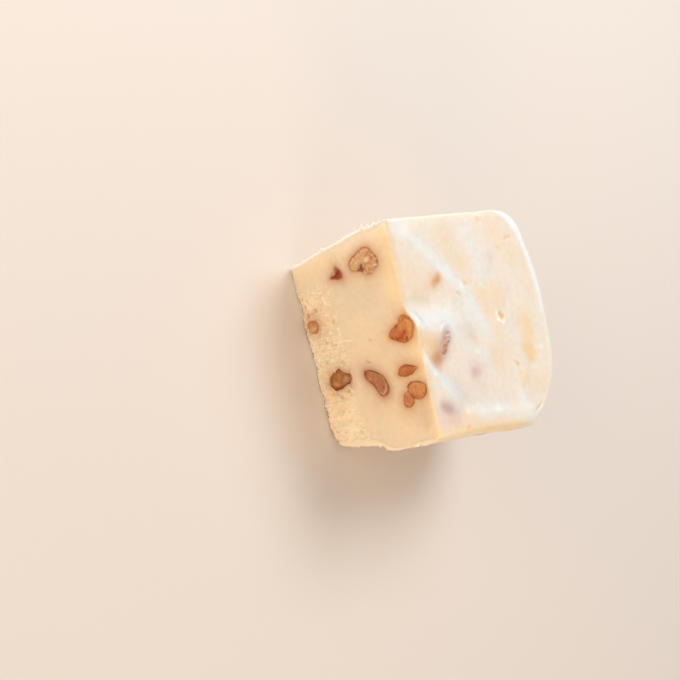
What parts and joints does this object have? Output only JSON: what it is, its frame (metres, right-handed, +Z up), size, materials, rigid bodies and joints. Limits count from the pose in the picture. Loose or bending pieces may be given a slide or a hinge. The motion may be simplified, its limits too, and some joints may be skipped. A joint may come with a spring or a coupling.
{
  "type": "nut fudge",
  "caption": "Hand-cut block of pale cream pecan fudge with a glossy wavy top, a knife-cut face showing cut pecan pieces and a crumbly underside.",
  "frame": {"origin": "under the middle of the block, on the surface it lies on", "axes": "+Z up out of the glossy top, -Y out of the knife-cut face with the cut pecans, +X along that face to its ragged right end"},
  "size_m": [0.0642, 0.0622, 0.0376],
  "materials": {
    "fudge": "waxy pale cream fudge: satin gloss skin on top, dull where the knife cut it, porous and crumbly at the foot",
    "pecan": "dull toasted pecan flesh in orange-brown with a thin dark red-brown skin"
  },
  "bodies": {
    "root": {"fudge_block": "fudge", "pecan_01": "pecan", "pecan_02": "pecan", "pecan_03": "pecan", "pecan_04": "pecan", "pecan_05": "pecan", "pecan_06": "pecan", "pecan_07": "pecan", "pecan_08": "pecan", "pecan_09": "pecan", "pecan_10": "pecan", "pecan_11": "pecan", "pecan_12": "pecan", "pecan_13": "pecan", "pecan_14": "pecan", "pecan_15": "pecan"}
  },
  "joints": []
}
